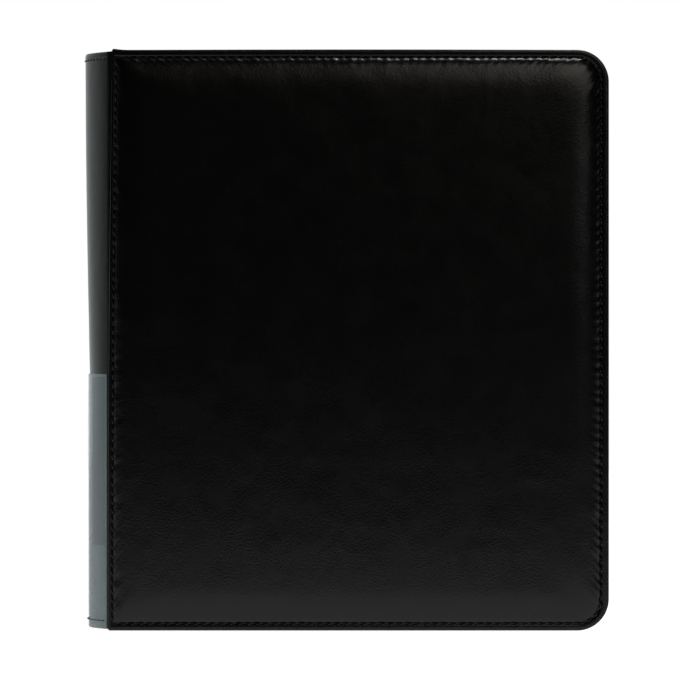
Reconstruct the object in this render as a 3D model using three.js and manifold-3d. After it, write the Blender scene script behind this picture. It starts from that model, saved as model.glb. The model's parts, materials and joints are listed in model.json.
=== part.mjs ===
// A three-ring trading card binder, closed and standing on its bottom edge.
//
// Millimetres, +Z up. The front cover faces -Y, the spine is on the -X side, and the origin is under the
// middle of the closed binder. Two padded covers are sewn to a curved spine, the ring metal is riveted to
// the rear cover, and six nine-pocket card pages hang on its rings.
import * as THREE from "three";
import { mergeVertices } from "three/addons/utils/BufferGeometryUtils.js";
import Module from "manifold-3d";

const wasm = await Module();
wasm.setup();

// ---- Driving dimensions ----
const HEIGHT = 292; // of both covers
const COVER_WIDTH = 251.5; // of one sewn cover
const THICKNESS = 64; // over the padding of both covers
const COVER_CORNER = 16; // radius of the two corners away from the spine
const SPINE_CORNER = 1.2; // radius of the two corners at the spine
const GAP = 0.1; // left between layers that lie on each other

// Layers of a cover, each a thickness, and the margin outside the seam.
const SKIN = 0.8;
const FLANGE = 1.2; // turned edge of the skin
const BOARD = 2.6;
const LINER = 0.6;
const SEAM_INSET = 4.8; // from the edge to the seam
const BOARD_INSET = 6.5;

// The curved spine and its label holder.
const HINGE_GAP = 1.6; // from a fold's axis to the pieces on either side
const FOLD_RUN = 1; // length of the flat parts either side of a fold's bend
const SPINE_SAGITTA = 9.4;
const SPINE_BOARD = 1.6;
const SPINE_LINER = 0.5;
const SPINE_SHORTER = 0.75; // at each end, against the covers
const SPINE_BOARD_INSET = 5; // at each end and beside each fold
const SHEET = 0.2; // label, and the sheet behind it
const FILM = 0.3;
const HOLDER_TOP = 129;
const HOLDER_FOLD_GAP = 3.2; // from a fold's axis to the holder's sides
const LABEL_BOTTOM = 42.8;
const LABEL_TOP = 127.5;
const LABEL_WIDTH = 12.7;

// The ring metal. u runs from its centreline to the free edge, h from the rear lining to the front.
const METAL_FROM_FOLD = 20; // from the rear fold to the ring metal's centreline
const PLATE_LENGTH = 264;
const PLATE_HALF_WIDTH = 15.5;
const PLATE_HEIGHT = 7;
const PLATE_SIDE = 3.6; // height of its straight sides
const PLATE_STEEL = 0.9;
const PLATE_LIP = 2.1;
const BLADE_LENGTH = 248.8;
const PIVOT = { u: 14, h: 2.6 };
const BLADE_TILT = THREE.MathUtils.degToRad(6); // down to the middle while the rings are closed
const RING_SPACING = 108;
const WIRE_RADIUS = 1.5;
const STRAIGHT_FOOT = { u: 11, h: 3.1 };
const ROUND_FOOT = { u: -11, h: 3.5 };
const RING_TOP = 43.5;
const RING_JOIN = 3; // u where the two halves meet
const POST_TOP = { u: 13.2, h: 33.5 };
const RIVET_SPACING = 108;
const LEVER_WIDTH = 12;
const LEVER_STEEL = 1.2;

// The card pages.
const PAGES = 6;
const PAGE_PITCH = 1.25;
const FIRST_PAGE = 8.6; // height of the middle of the rearmost page
const PAGE_HEIGHT = 284;
const PANEL_WIDTH = 200;
const PANEL = 0.6; // thickness with its pockets
const STRIP = 0.4;
const HOLE_RADIUS = 4;
const HOLE_FROM_EDGE = 9;
const WELD_FROM_HOLE = 11;
const WELD_GAP = 0.8;

// ---- Places worked out from them ----
const LABEL_STACK = 3 * GAP + 2 * SHEET + FILM;
const LEFT_END = -(LABEL_STACK + SPINE_SAGITTA + HINGE_GAP + COVER_WIDTH) / 2;
const FOLD_X = LEFT_END + LABEL_STACK + SPINE_SAGITTA;
const COVER_LEFT = FOLD_X + HINGE_GAP;
const COVER_RIGHT = COVER_LEFT + COVER_WIDTH;
const MID_Z = HEIGHT / 2;

// Rise of the padding above the flange, by distance inside the seam.
const SHOULDER = [
  [0, 0],
  [1.4, 1.4],
  [4, 2.8],
  [7.5, 3.7],
  [12, 4.1],
];
const PAD_RISE = SHOULDER.at(-1)[1];
const FLANGE_FACE = THICKNESS / 2 - PAD_RISE; // depths below are distances from the middle plane
const TAB_FACE = FLANGE_FACE - FLANGE - GAP;
const FOLD_DEPTH = TAB_FACE - SKIN / 2;
const BOARD_BACK = TAB_FACE - SKIN;
const BOARD_FACE = BOARD_BACK + BOARD;
const LINER_FACE = BOARD_BACK - GAP;
const INSIDE = LINER_FACE - LINER; // the lining's free face

const SPINE_RADIUS = (FOLD_DEPTH ** 2 + SPINE_SAGITTA ** 2) / (2 * SPINE_SAGITTA);
const SPINE_CENTRE_X = FOLD_X - SPINE_SAGITTA + SPINE_RADIUS;
const SPINE_HALF_ANGLE = Math.asin(FOLD_DEPTH / SPINE_RADIUS);

const METAL_X = FOLD_X + METAL_FROM_FOLD;
const PLATE_BOTTOM = MID_Z - PLATE_LENGTH / 2;

// ---- Helpers ----
const binder = new THREE.Group();

const COLOURS = {
  leatherette: { color: 0x0c0c0c, roughness: 0.38, metalness: 0 },
  lining: { color: 0x141414, roughness: 0.6, metalness: 0 },
  board: { color: 0x8a7f70, roughness: 0.9, metalness: 0 },
  foam: { color: 0xd8d6cc, roughness: 0.95, metalness: 0 },
  film: { color: 0x9aa3a4, roughness: 0.15, metalness: 0 },
  paper: { color: 0x6d7678, roughness: 0.8, metalness: 0 },
  steel: { color: 0xc8cacc, roughness: 0.2, metalness: 1 },
  page: { color: 0x1a1a1c, roughness: 0.25, metalness: 0 },
};
const MATERIALS = Object.fromEntries(
  Object.entries(COLOURS).map(([name, look]) => [name, new THREE.MeshStandardMaterial(look)]),
);

function addMesh(parent, name, material, geometry) {
  const mesh = new THREE.Mesh(geometry, MATERIALS[material]);
  mesh.name = name;
  parent.add(mesh);
  return mesh;
}

function toSolid(geometry) {
  const bare = new THREE.BufferGeometry();
  bare.setAttribute("position", geometry.getAttribute("position").clone());
  if (geometry.index) bare.setIndex(geometry.index.clone());
  const merged = mergeVertices(bare, 1e-4);
  return new wasm.Manifold(
    new wasm.Mesh({
      numProp: 3,
      vertProperties: new Float32Array(merged.attributes.position.array),
      triVerts: new Uint32Array(merged.index.array),
    }),
  );
}

function toGeometry(solid) {
  const mesh = solid.getMesh();
  const geometry = new THREE.BufferGeometry();
  geometry.setAttribute("position", new THREE.BufferAttribute(mesh.vertProperties, 3));
  geometry.setIndex(new THREE.BufferAttribute(mesh.triVerts, 1));
  geometry.computeVertexNormals();
  return geometry;
}

// The first geometry with the others cut out of it.
function cut(geometry, ...cutters) {
  const left = cutters.reduce((solid, cutter) => solid.subtract(toSolid(cutter)), toSolid(geometry));
  return toGeometry(left);
}

// A box between two corners.
function boxBetween([x0, y0, z0], [x1, y1, z1]) {
  const box = new THREE.BoxGeometry(x1 - x0, y1 - y0, z1 - z0);
  return box.translate((x0 + x1) / 2, (y0 + y1) / 2, (z0 + z1) / 2);
}

// A cylinder along Y between two depths.
function cylinderAlongY(x, z, radius, y0, y1, segments = 24) {
  const cylinder = new THREE.CylinderGeometry(radius, radius, y1 - y0, segments);
  return cylinder.translate(x, (y0 + y1) / 2, z);
}

// The cover's outline, set in from its edge, anticlockwise as seen from the front.
function coverOutline(inset) {
  const near = Math.max(SPINE_CORNER - inset, 0.6);
  const far = Math.max(COVER_CORNER - inset, 0.6);
  const left = COVER_LEFT + inset;
  const right = COVER_RIGHT - inset;
  const low = inset;
  const high = HEIGHT - inset;
  const outline = new THREE.Path();
  outline.absarc(left + near, low + near, near, Math.PI, 1.5 * Math.PI);
  outline.absarc(right - far, low + far, far, 1.5 * Math.PI, 2 * Math.PI);
  outline.absarc(right - far, high - far, far, 0, 0.5 * Math.PI);
  outline.absarc(left + near, high - near, near, 0.5 * Math.PI, Math.PI);
  const points = outline.getPoints(5);
  const last = points.at(-1);
  return last.distanceTo(points[0]) < 1e-6 ? points.slice(0, -1) : points;
}

// A closed plate through cover outlines: steps are [inset, depth] from its inner face outwards.
function coverPlate(steps) {
  const rings = steps.map(([inset, depth]) =>
    coverOutline(inset).map((p) => new THREE.Vector3(p.x, -depth, p.y)),
  );
  const count = rings[0].length;
  const positions = [];
  const index = [];
  for (const ring of rings) for (const p of ring) positions.push(p.x, p.y, p.z);
  for (let r = 0; r + 1 < rings.length; r++)
    for (let i = 0; i < count; i++) {
      const j = (i + 1) % count;
      const [a, b, c, d] = [r * count + i, r * count + j, (r + 1) * count + j, (r + 1) * count + i];
      index.push(a, b, c, a, c, d);
    }
  const middleX = (COVER_LEFT + COVER_RIGHT) / 2;
  const inner = positions.length / 3;
  positions.push(middleX, rings[0][0].y, MID_Z, middleX, rings.at(-1)[0].y, MID_Z);
  const outer = inner + 1;
  const top = (rings.length - 1) * count;
  for (let i = 0; i < count; i++) {
    const j = (i + 1) % count;
    index.push(inner, j, i, outer, top + i, top + j);
  }
  const geometry = new THREE.BufferGeometry();
  geometry.setAttribute("position", new THREE.Float32BufferAttribute(positions, 3));
  geometry.setIndex(index);
  return geometry;
}

// A plate with straight sides between two depths.
const flatPlate = (inset, back, face) => coverPlate([[inset, back], [inset, face]]);

// ---- Covers ----
// Every cover is made as the front one, and the rear one is its mirror image.

// The skin's inside, which holds the board and the padding.
function coverCavity() {
  const wall = BOARD_INSET - 0.3;
  const inside = SHOULDER.slice(1).map(([d, rise]) => [SEAM_INSET + d + SKIN, FLANGE_FACE + rise - SKIN]);
  return coverPlate([[wall, INSIDE], [wall, inside[0][1]], ...inside]);
}

function coverSkin() {
  const edge = 0.4; // rounding of the turned edge
  const crown = SHOULDER.map(([d, rise]) => [SEAM_INSET + d, FLANGE_FACE + rise]);
  const solid = coverPlate([[0, BOARD_BACK], [0, FLANGE_FACE - edge], [edge, FLANGE_FACE], ...crown]);
  const tabSpace = boxBetween(
    [FOLD_X - 1, -TAB_FACE - GAP, -1],
    [COVER_LEFT + BOARD_INSET - 0.2, -INSIDE, HEIGHT + 1],
  );
  return cut(solid, coverCavity(), tabSpace);
}

function coverPadding() {
  const side = 0.3;
  const inside = SHOULDER.slice(1).map(([d, rise]) => [
    SEAM_INSET + d + SKIN + side,
    FLANGE_FACE + rise - SKIN - GAP,
  ]);
  inside[0][1] = BOARD_FACE + GAP;
  return coverPlate(inside);
}

// The margin of the spine's skin that is sewn between a cover's flange and its lining.
function seamTab() {
  return boxBetween(
    [COVER_LEFT, -TAB_FACE, SPINE_SHORTER],
    [COVER_LEFT + BOARD_INSET - 0.5, -BOARD_BACK, HEIGHT - SPINE_SHORTER],
  );
}

// The sheet pocket on the front cover's lining, open at the top.
function insidePocket() {
  const sheet = 0.5;
  const mouth = 168;
  const whole = flatPlate(1, INSIDE - GAP - sheet, INSIDE - GAP);
  const above = boxBetween([FOLD_X, -INSIDE - 1, mouth], [COVER_RIGHT + 1, -INSIDE + 2, HEIGHT + 1]);
  return cut(whole, above);
}

function addCover(side, rivets) {
  const group = new THREE.Group();
  group.scale.y = side === "front" ? 1 : -1;
  const bored = (geometry, radius) => {
    const bores = rivets.map((z) => cylinderAlongY(METAL_X, z, radius, -THICKNESS, 0));
    return cut(geometry, ...bores);
  };
  const shankHole = RIVET.shank + 0.3;
  const capHole = RIVET.cap + 0.3;
  addMesh(group, `${side}_skin`, "leatherette", coverSkin());
  addMesh(group, `${side}_padding`, "foam", bored(coverPadding(), capHole));
  addMesh(group, `${side}_board`, "board", bored(flatPlate(BOARD_INSET, BOARD_BACK, BOARD_FACE), shankHole));
  addMesh(group, `${side}_lining`, "lining", bored(flatPlate(0.5, INSIDE, LINER_FACE), shankHole));
  addMesh(group, `${side}_seam_tab`, "leatherette", seamTab());
  binder.add(group);
  return group;
}

// ---- Spine ----
// A part of the spine's curve, from one radius to another and from the front fold to the rear one.
function spineShell(inner, outer, fromAngle, toAngle, bottom, top) {
  const shape = new THREE.Shape();
  shape.absarc(SPINE_CENTRE_X, 0, outer, Math.PI + toAngle, Math.PI + fromAngle, true);
  shape.absarc(SPINE_CENTRE_X, 0, inner, Math.PI + fromAngle, Math.PI + toAngle, false);
  const geometry = new THREE.ExtrudeGeometry(shape, {
    depth: top - bottom,
    bevelEnabled: false,
    curveSegments: 12,
  });
  return geometry.translate(0, 0, bottom);
}

// The leatherette that bends between the spine's skin and a cover's seam tab.
function foldStrip() {
  const spineEnd = SPINE_HALF_ANGLE - (HINGE_GAP - GAP) / SPINE_RADIUS;
  const onSpine = (radius) =>
    new THREE.Vector2(
      SPINE_CENTRE_X - radius * Math.cos(spineEnd),
      -radius * Math.sin(spineEnd),
    );
  const towardsFold = new THREE.Vector2(Math.sin(spineEnd), -Math.cos(spineEnd)).multiplyScalar(FOLD_RUN);
  const outer = onSpine(SPINE_RADIUS);
  const inner = onSpine(SPINE_RADIUS - SKIN);
  const tab = COVER_LEFT - GAP;
  const shape = new THREE.Shape([
    outer,
    outer.clone().add(towardsFold),
    new THREE.Vector2(FOLD_X + FOLD_RUN / 2, -TAB_FACE),
    new THREE.Vector2(tab, -TAB_FACE),
    new THREE.Vector2(tab, -BOARD_BACK),
    new THREE.Vector2(FOLD_X + FOLD_RUN, -BOARD_BACK),
    inner.clone().add(towardsFold),
    inner,
  ]);
  const geometry = new THREE.ExtrudeGeometry(shape, {
    depth: HEIGHT - 2 * SPINE_SHORTER,
    bevelEnabled: false,
  });
  return geometry.translate(0, 0, SPINE_SHORTER);
}

function addFold(side) {
  const group = new THREE.Group();
  group.scale.y = side === "front" ? 1 : -1;
  addMesh(group, `${side}_fold`, "leatherette", foldStrip());
  binder.add(group);
}

function addSpine() {
  const low = SPINE_SHORTER;
  const high = HEIGHT - SPINE_SHORTER;
  const skinAngle = SPINE_HALF_ANGLE - HINGE_GAP / SPINE_RADIUS;
  const boardAngle = SPINE_HALF_ANGLE - SPINE_BOARD_INSET / SPINE_RADIUS;
  const holderAngle = SPINE_HALF_ANGLE - HOLDER_FOLD_GAP / SPINE_RADIUS;
  const boardOuter = SPINE_RADIUS - SKIN - GAP;
  const linerOuter = boardOuter - SPINE_BOARD - GAP;
  const whole = (inner, outer, angle, inset) =>
    spineShell(inner, outer, -angle, angle, low + inset, high - inset);

  addMesh(binder, "spine_skin", "leatherette", whole(SPINE_RADIUS - SKIN, SPINE_RADIUS, skinAngle, 0));
  addMesh(
    binder,
    "spine_board",
    "board",
    whole(boardOuter - SPINE_BOARD, boardOuter, boardAngle, SPINE_BOARD_INSET),
  );
  addMesh(binder, "spine_lining", "lining", whole(linerOuter - SPINE_LINER, linerOuter, boardAngle, 0));

  const sheetInner = SPINE_RADIUS + GAP;
  const labelInner = sheetInner + SHEET + GAP;
  const filmInner = labelInner + SHEET + GAP;
  const labelStart = holderAngle - 1 / SPINE_RADIUS;
  const labelEnd = labelStart - LABEL_WIDTH / SPINE_RADIUS;
  addMesh(
    binder,
    "label_holder_sheet",
    "film",
    spineShell(sheetInner, sheetInner + SHEET, -holderAngle, holderAngle, low, HOLDER_TOP),
  );
  addMesh(
    binder,
    "label_card",
    "paper",
    spineShell(labelInner, labelInner + SHEET, labelEnd, labelStart, LABEL_BOTTOM, LABEL_TOP),
  );
  addMesh(
    binder,
    "label_holder_film",
    "film",
    spineShell(filmInner, filmInner + FILM, -holderAngle, holderAngle, low, HOLDER_TOP),
  );
}

// ---- Ring metal ----
const RIVET = { shank: 2, cap: 5, head: 4, thickness: 0.8 };
const RIVET_HEIGHTS = [MID_Z - RIVET_SPACING / 2, MID_Z + RIVET_SPACING / 2];
const RING_HEIGHTS = [MID_Z - RING_SPACING, MID_Z, MID_Z + RING_SPACING];
const RING_NAMES = ["lower", "middle", "upper"];

const metalX = (u) => METAL_X + u;
const metalY = (h) => INSIDE - h;

// An outline in the plane across the ring metal, made long along Z.
function metalSection(shape, bottom, top) {
  const geometry = new THREE.ExtrudeGeometry(shape, {
    depth: top - bottom,
    bevelEnabled: false,
    curveSegments: 14,
  });
  return geometry.translate(0, 0, bottom);
}

// The arched plate over the blades, with rolled edges, a slot for each ring's foot and the rivet holes.
function basePlate() {
  const arch = (halfWidth, height) => {
    const rise = height - PLATE_SIDE;
    const radius = (halfWidth ** 2 + rise ** 2) / (2 * rise);
    const points = [];
    const steps = 14;
    for (let i = 0; i <= steps; i++) {
      const u = halfWidth * (1 - (2 * i) / steps);
      points.push([u, height - radius + Math.sqrt(radius ** 2 - u ** 2)]);
    }
    return points;
  };
  const outer = PLATE_HALF_WIDTH;
  const inner = outer - PLATE_STEEL;
  const low = GAP;
  const lipTop = low + PLATE_STEEL;
  const rim = [
    [outer - PLATE_LIP, low],
    [outer, low],
    ...arch(outer, PLATE_HEIGHT),
    [-outer, low],
    [-outer + PLATE_LIP, low],
    [-outer + PLATE_LIP, lipTop],
    [-inner, lipTop],
    ...arch(inner, PLATE_HEIGHT - PLATE_STEEL).reverse(),
    [inner, lipTop],
    [outer - PLATE_LIP, lipTop],
  ];
  const shape = new THREE.Shape(rim.map(([u, h]) => new THREE.Vector2(metalX(u), metalY(h))));
  const plate = metalSection(shape, PLATE_BOTTOM, PLATE_BOTTOM + PLATE_LENGTH);
  const slotHalf = 2;
  const slots = RING_HEIGHTS.flatMap((z) =>
    [-1, 1].map((sideOf) => {
      const [near, far] = [9, 13.6].map((u) => metalX(u * sideOf)).sort((a, b) => a - b);
      return boxBetween([near, metalY(PLATE_HEIGHT), z - slotHalf], [far, metalY(2), z + slotHalf]);
    }),
  );
  const holes = RIVET_HEIGHTS.map((z) =>
    cylinderAlongY(METAL_X, z, RIVET.shank + 0.3, metalY(PLATE_HEIGHT + 1), metalY(2)),
  );
  return cut(plate, ...slots, ...holes);
}

// One of the two blades that pivot in the plate's rolled edges. sign is 1 on the free edge's side.
function blade(sign) {
  const thick = PLATE_STEEL / 2;
  const outerEnd = 0.2;
  const innerEnd = PIVOT.u - 0.25;
  const along = (distance, across) => {
    const u = PIVOT.u - distance * Math.cos(BLADE_TILT) - across * Math.sin(BLADE_TILT);
    const h = PIVOT.h - distance * Math.sin(BLADE_TILT) + across * Math.cos(BLADE_TILT);
    return new THREE.Vector2(metalX(sign * u), metalY(h));
  };
  const shape = new THREE.Shape([
    along(-outerEnd, thick),
    along(innerEnd, thick),
    along(innerEnd, -thick),
    along(-outerEnd, -thick),
  ]);
  const strip = metalSection(shape, MID_Z - BLADE_LENGTH / 2, MID_Z + BLADE_LENGTH / 2);
  const notches = RIVET_HEIGHTS.map((z) =>
    cylinderAlongY(METAL_X, z, RIVET.shank + 0.9, metalY(PLATE_HEIGHT), metalY(-1)),
  );
  return cut(strip, ...notches);
}

// A curve in the plane across the ring metal, lifted to its height along the binder.
class RingCurve extends THREE.Curve {
  constructor(path, z) {
    super();
    this.path = path;
    this.z = z;
  }
  getPoint(t, target = new THREE.Vector3()) {
    const p = this.path.getPoint(t);
    return target.set(metalX(p.x), metalY(p.y), this.z);
  }
}

// The straight half, which the pages lie against, and the round half on the spine's side.
function ringPath(half) {
  const path = new THREE.Path();
  if (half === "straight") {
    path.moveTo(STRAIGHT_FOOT.u, STRAIGHT_FOOT.h);
    path.lineTo(POST_TOP.u, POST_TOP.h);
    path.quadraticCurveTo(POST_TOP.u + 0.7, RING_TOP, POST_TOP.u - 8.2, RING_TOP);
    path.lineTo(RING_JOIN + 0.15, RING_TOP);
  } else {
    path.moveTo(ROUND_FOOT.u, ROUND_FOOT.h);
    path.bezierCurveTo(-17, 18, -20, RING_TOP, RING_JOIN - 0.15, RING_TOP);
  }
  return path;
}

function halfRing(half, z) {
  const section = new THREE.Shape();
  section.absarc(0, 0, WIRE_RADIUS, 0, 2 * Math.PI);
  return new THREE.ExtrudeGeometry(section, {
    steps: 18,
    curveSegments: 5,
    extrudePath: new RingCurve(ringPath(half), z),
  });
}

// A rivet through the plate, the lining and the board, with its cap hidden under the padding.
function rivet(z) {
  const headTop = metalY(PLATE_HEIGHT + GAP + RIVET.thickness);
  const headBottom = metalY(PLATE_HEIGHT + GAP);
  const capBottom = BOARD_FACE + GAP;
  const profile = [
    [0, headTop],
    [RIVET.head - 0.4, headTop],
    [RIVET.head, headBottom],
    [RIVET.shank, headBottom],
    [RIVET.shank, capBottom],
    [RIVET.cap, capBottom],
    [RIVET.cap - 0.3, capBottom + RIVET.thickness],
    [0, capBottom + RIVET.thickness],
  ];
  const lathe = new THREE.LatheGeometry(
    profile.map(([radius, y]) => new THREE.Vector2(radius, y)),
    20,
  );
  return lathe.translate(METAL_X, 0, z);
}

// The upper end's opening lever: a bent strip with a barrel round its pin.
const LEVER_PIN = { fromEnd: 2.5, h: 2.6, radius: 0.9, barrel: 1.8, bore: 1.2 };

function leverAxisZ() {
  return PLATE_BOTTOM + PLATE_LENGTH - LEVER_PIN.fromEnd;
}

function lever() {
  const half = LEVER_STEEL / 2;
  const middle = [
    [-4.4, -1.2],
    [0, -0.6],
    [4.5, 0.4],
    [12, 3.7],
  ];
  const above = middle.map(([z, h]) => new THREE.Vector2(z, h + half));
  const below = middle.map(([z, h]) => new THREE.Vector2(z, h - half)).reverse();
  const strip = new THREE.ExtrudeGeometry(new THREE.Shape([...above, ...below]), {
    depth: LEVER_WIDTH,
    bevelEnabled: false,
  });
  const barrel = new THREE.CylinderGeometry(LEVER_PIN.barrel, LEVER_PIN.barrel, LEVER_WIDTH, 16);
  barrel.rotateX(Math.PI / 2).translate(0, 0, LEVER_WIDTH / 2);
  const bore = new THREE.CylinderGeometry(LEVER_PIN.bore, LEVER_PIN.bore, LEVER_WIDTH + 2, 16);
  bore.rotateX(Math.PI / 2).translate(0, 0, LEVER_WIDTH / 2);
  const solid = toSolid(strip).add(toSolid(barrel)).subtract(toSolid(bore));
  return toGeometry(solid).translate(0, 0, -LEVER_WIDTH / 2);
}

function leverPin() {
  const length = 2 * (PLATE_HALF_WIDTH - PLATE_STEEL - 0.2);
  return new THREE.CylinderGeometry(LEVER_PIN.radius, LEVER_PIN.radius, length, 16).rotateX(Math.PI / 2);
}

// Stands a lever or pin, drawn with Z along the binder as x and h as y, at one end of the plate.
function addAtEnd(name, geometry, end) {
  const stand = new THREE.Group();
  stand.matrixAutoUpdate = false;
  stand.matrix.makeBasis(
    new THREE.Vector3(0, 0, 1),
    new THREE.Vector3(0, -1, 0),
    new THREE.Vector3(1, 0, 0),
  );
  stand.matrix.setPosition(METAL_X, metalY(LEVER_PIN.h), leverAxisZ());
  const group = new THREE.Group();
  if (end === "lower") {
    group.scale.z = -1;
    group.position.z = HEIGHT;
  }
  addMesh(stand, name, "steel", geometry);
  group.add(stand);
  binder.add(group);
}

function addRingMetal() {
  addMesh(binder, "ring_base_plate", "steel", basePlate());
  addMesh(binder, "ring_blade_outer", "steel", blade(1));
  addMesh(binder, "ring_blade_inner", "steel", blade(-1));
  RING_HEIGHTS.forEach((z, i) => {
    addMesh(binder, `ring_${RING_NAMES[i]}_straight_half`, "steel", halfRing("straight", z));
    addMesh(binder, `ring_${RING_NAMES[i]}_round_half`, "steel", halfRing("round", z));
  });
  RIVET_HEIGHTS.forEach((z, i) => {
    addMesh(binder, `ring_rivet_${["lower", "upper"][i]}`, "steel", rivet(z));
  });
  for (const end of ["upper", "lower"]) {
    addAtEnd(`opening_lever_${end}`, lever(), end);
    addAtEnd(`lever_pin_${end}`, leverPin(), end);
  }
}

// ---- Card pages ----
// Where the straight half stands at a height above the lining.
function postAt(h) {
  const share = (h - STRAIGHT_FOOT.h) / (POST_TOP.h - STRAIGHT_FOOT.h);
  return STRAIGHT_FOOT.u + share * (POST_TOP.u - STRAIGHT_FOOT.u);
}

function addPage(number) {
  const h = FIRST_PAGE + (number - 1) * PAGE_PITCH;
  const y = metalY(h);
  const holeX = metalX(postAt(h));
  const weldX = holeX + WELD_FROM_HOLE;
  const low = MID_Z - PAGE_HEIGHT / 2;
  const high = MID_Z + PAGE_HEIGHT / 2;
  const strip = boxBetween(
    [holeX - HOLE_FROM_EDGE, y - STRIP / 2, low],
    [weldX - WELD_GAP, y + STRIP / 2, high],
  );
  const holes = RING_HEIGHTS.map((z) => cylinderAlongY(holeX, z, HOLE_RADIUS, y - 1, y + 1));
  addMesh(binder, `page_${number}_strip`, "page", cut(strip, ...holes));
  const panel = boxBetween([weldX + WELD_GAP, y - PANEL / 2, low], [weldX + PANEL_WIDTH, y + PANEL / 2, high]);
  addMesh(binder, `page_${number}_panel`, "page", panel);
}

// ---- The binder ----
const frontCover = addCover("front", []);
addMesh(frontCover, "front_inside_pocket", "lining", insidePocket());
addCover("rear", RIVET_HEIGHTS);
addSpine();
addFold("front");
addFold("rear");
addRingMetal();
for (let number = 1; number <= PAGES; number++) addPage(number);

export default binder;
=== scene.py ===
"""A closed three-ring card binder with padded leatherette covers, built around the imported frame."""
import json
import math

import bmesh
import bpy
import numpy as np
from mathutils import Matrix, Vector, noise

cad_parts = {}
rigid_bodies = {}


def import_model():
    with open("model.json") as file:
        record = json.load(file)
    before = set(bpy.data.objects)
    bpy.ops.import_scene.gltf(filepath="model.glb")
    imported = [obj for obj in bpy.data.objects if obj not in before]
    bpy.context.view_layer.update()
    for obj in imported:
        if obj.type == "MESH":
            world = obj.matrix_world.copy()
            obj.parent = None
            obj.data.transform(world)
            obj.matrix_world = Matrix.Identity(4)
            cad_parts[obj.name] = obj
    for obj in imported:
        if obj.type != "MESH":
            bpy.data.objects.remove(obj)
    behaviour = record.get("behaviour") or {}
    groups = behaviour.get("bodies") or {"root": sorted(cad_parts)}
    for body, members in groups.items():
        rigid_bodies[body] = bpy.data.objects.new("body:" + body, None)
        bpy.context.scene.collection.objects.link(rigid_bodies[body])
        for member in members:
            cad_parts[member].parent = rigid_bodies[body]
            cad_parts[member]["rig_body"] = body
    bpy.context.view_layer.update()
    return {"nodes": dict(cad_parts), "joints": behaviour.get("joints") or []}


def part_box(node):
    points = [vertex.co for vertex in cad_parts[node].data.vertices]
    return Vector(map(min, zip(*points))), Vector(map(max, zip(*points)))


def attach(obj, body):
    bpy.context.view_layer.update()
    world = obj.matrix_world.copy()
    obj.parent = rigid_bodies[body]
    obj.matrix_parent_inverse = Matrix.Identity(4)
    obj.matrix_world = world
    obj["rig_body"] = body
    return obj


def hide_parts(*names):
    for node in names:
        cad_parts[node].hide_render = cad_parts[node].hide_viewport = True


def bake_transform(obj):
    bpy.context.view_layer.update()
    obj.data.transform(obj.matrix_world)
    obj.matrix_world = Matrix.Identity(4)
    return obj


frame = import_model()
NODES = frame["nodes"]
JOINTS = {j["name"]: j for j in frame["joints"]}
MM = 0.001

# ---- Places taken from the frame ----
SKIN_LOW, SKIN_HIGH = (Vector(c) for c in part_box("front_skin"))
LEFT, RIGHT = SKIN_LOW.x, SKIN_HIGH.x
HEIGHT = SKIN_HIGH.z
MID_Z = HEIGHT / 2
PAD_DEPTH = -SKIN_LOW.y  # of the padding's crown, from the middle plane
BOARD_BACK = -SKIN_HIGH.y
INSIDE = -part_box("front_lining")[1][1]
FOLD = Vector(JOINTS["front_hinge"]["pos_m"])
FOLD_X, FOLD_DEPTH = FOLD.x, -FOLD.y
SPINE_LOW, SPINE_HIGH = (Vector(c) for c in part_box("spine_skin"))
SAGITTA = FOLD_X - SPINE_LOW.x
SPINE_RADIUS = (FOLD_DEPTH**2 + SAGITTA**2) / (2 * SAGITTA)
SPINE_CENTRE_X = FOLD_X - SAGITTA + SPINE_RADIUS
SPINE_ANGLE = math.asin(FOLD_DEPTH / SPINE_RADIUS)
SKIN_THICK = 0.8 * MM
FOLD_GAP = 1.6 * MM  # round the spine, from the fold to the skin's end
SKIN_ANGLE = SPINE_ANGLE - FOLD_GAP / SPINE_RADIUS

# ---- Cover section: distance inside the edge, height over the flange's face ----
CORNER = 16 * MM
SPINE_CORNER = 1.2 * MM
PAD_RISE = 4.1 * MM
FLANGE_FACE = PAD_DEPTH - PAD_RISE
SEAM = 4.0 * MM
GROOVE = 0.42 * MM
SIDE_SCALE = {"left": 0.52, "right": 1.0, "low": 0.875, "high": 0.92}
SECTION = [
    (0.0, -1.9), (0.0, -1.2), (0.04, -0.62), (0.16, -0.34), (0.42, -0.12), (0.8, -0.02),
    (1.4, 0.03), (2.1, 0.04), (2.8, 0.0), (3.25, -0.1), (3.6, -0.26), (3.85, -0.42),
    (4.0, -0.46), (4.15, -0.42), (4.4, -0.12), (4.75, 0.32), (5.2, 0.82), (5.8, 1.32),
    (6.6, 1.8), (7.6, 2.25), (8.8, 2.66), (10.2, 3.02), (11.8, 3.34), (13.6, 3.62),
    (15.6, 3.84), (17.8, 4.0), (20.5, 4.1), (24.0, 4.14), (28.0, 4.16),
]
PERIMETER_STEP = 1.45 * MM
FAR_ARC, NEAR_ARC = 18, 4  # steps round the outer corners and the spine corners
CROWN_INSET = 12 * MM  # from the section's last point to the grid over the crown
CROWN_COLUMNS, CROWN_ROWS = 60, 70
GRID_MARGIN = 0.012
TURNED_EDGE = [(0.35 * MM, 0.02 * MM), (2.5 * MM, 0.0)]  # inset, height over the board's back
STITCH_PITCH = 4.5 * MM
HEM_PITCH = 3.4 * MM
HEM = 3.4 * MM
LOW_HEM = 4.0 * MM
SWELL = 2.25 * MM  # extra bulge of the spine at its top
SWELL_FROM = 129 * MM
LEAN_LOW, LEAN_HIGH = -0.5 * MM, 1.6 * MM  # of the front cover's spine edge, bottom and top
LEAN_POWER = 1.9
LEAN_REACH = 40 * MM  # across the cover, where the shift has faded
TOP_EAR, TOP_BOW = 0.8 * MM, 0.25 * MM  # rise of the top edge at the spine corner and midway
FOLD_SHIFT = 1.6 * MM  # of the spine's front edge, in behind the cover's


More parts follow.
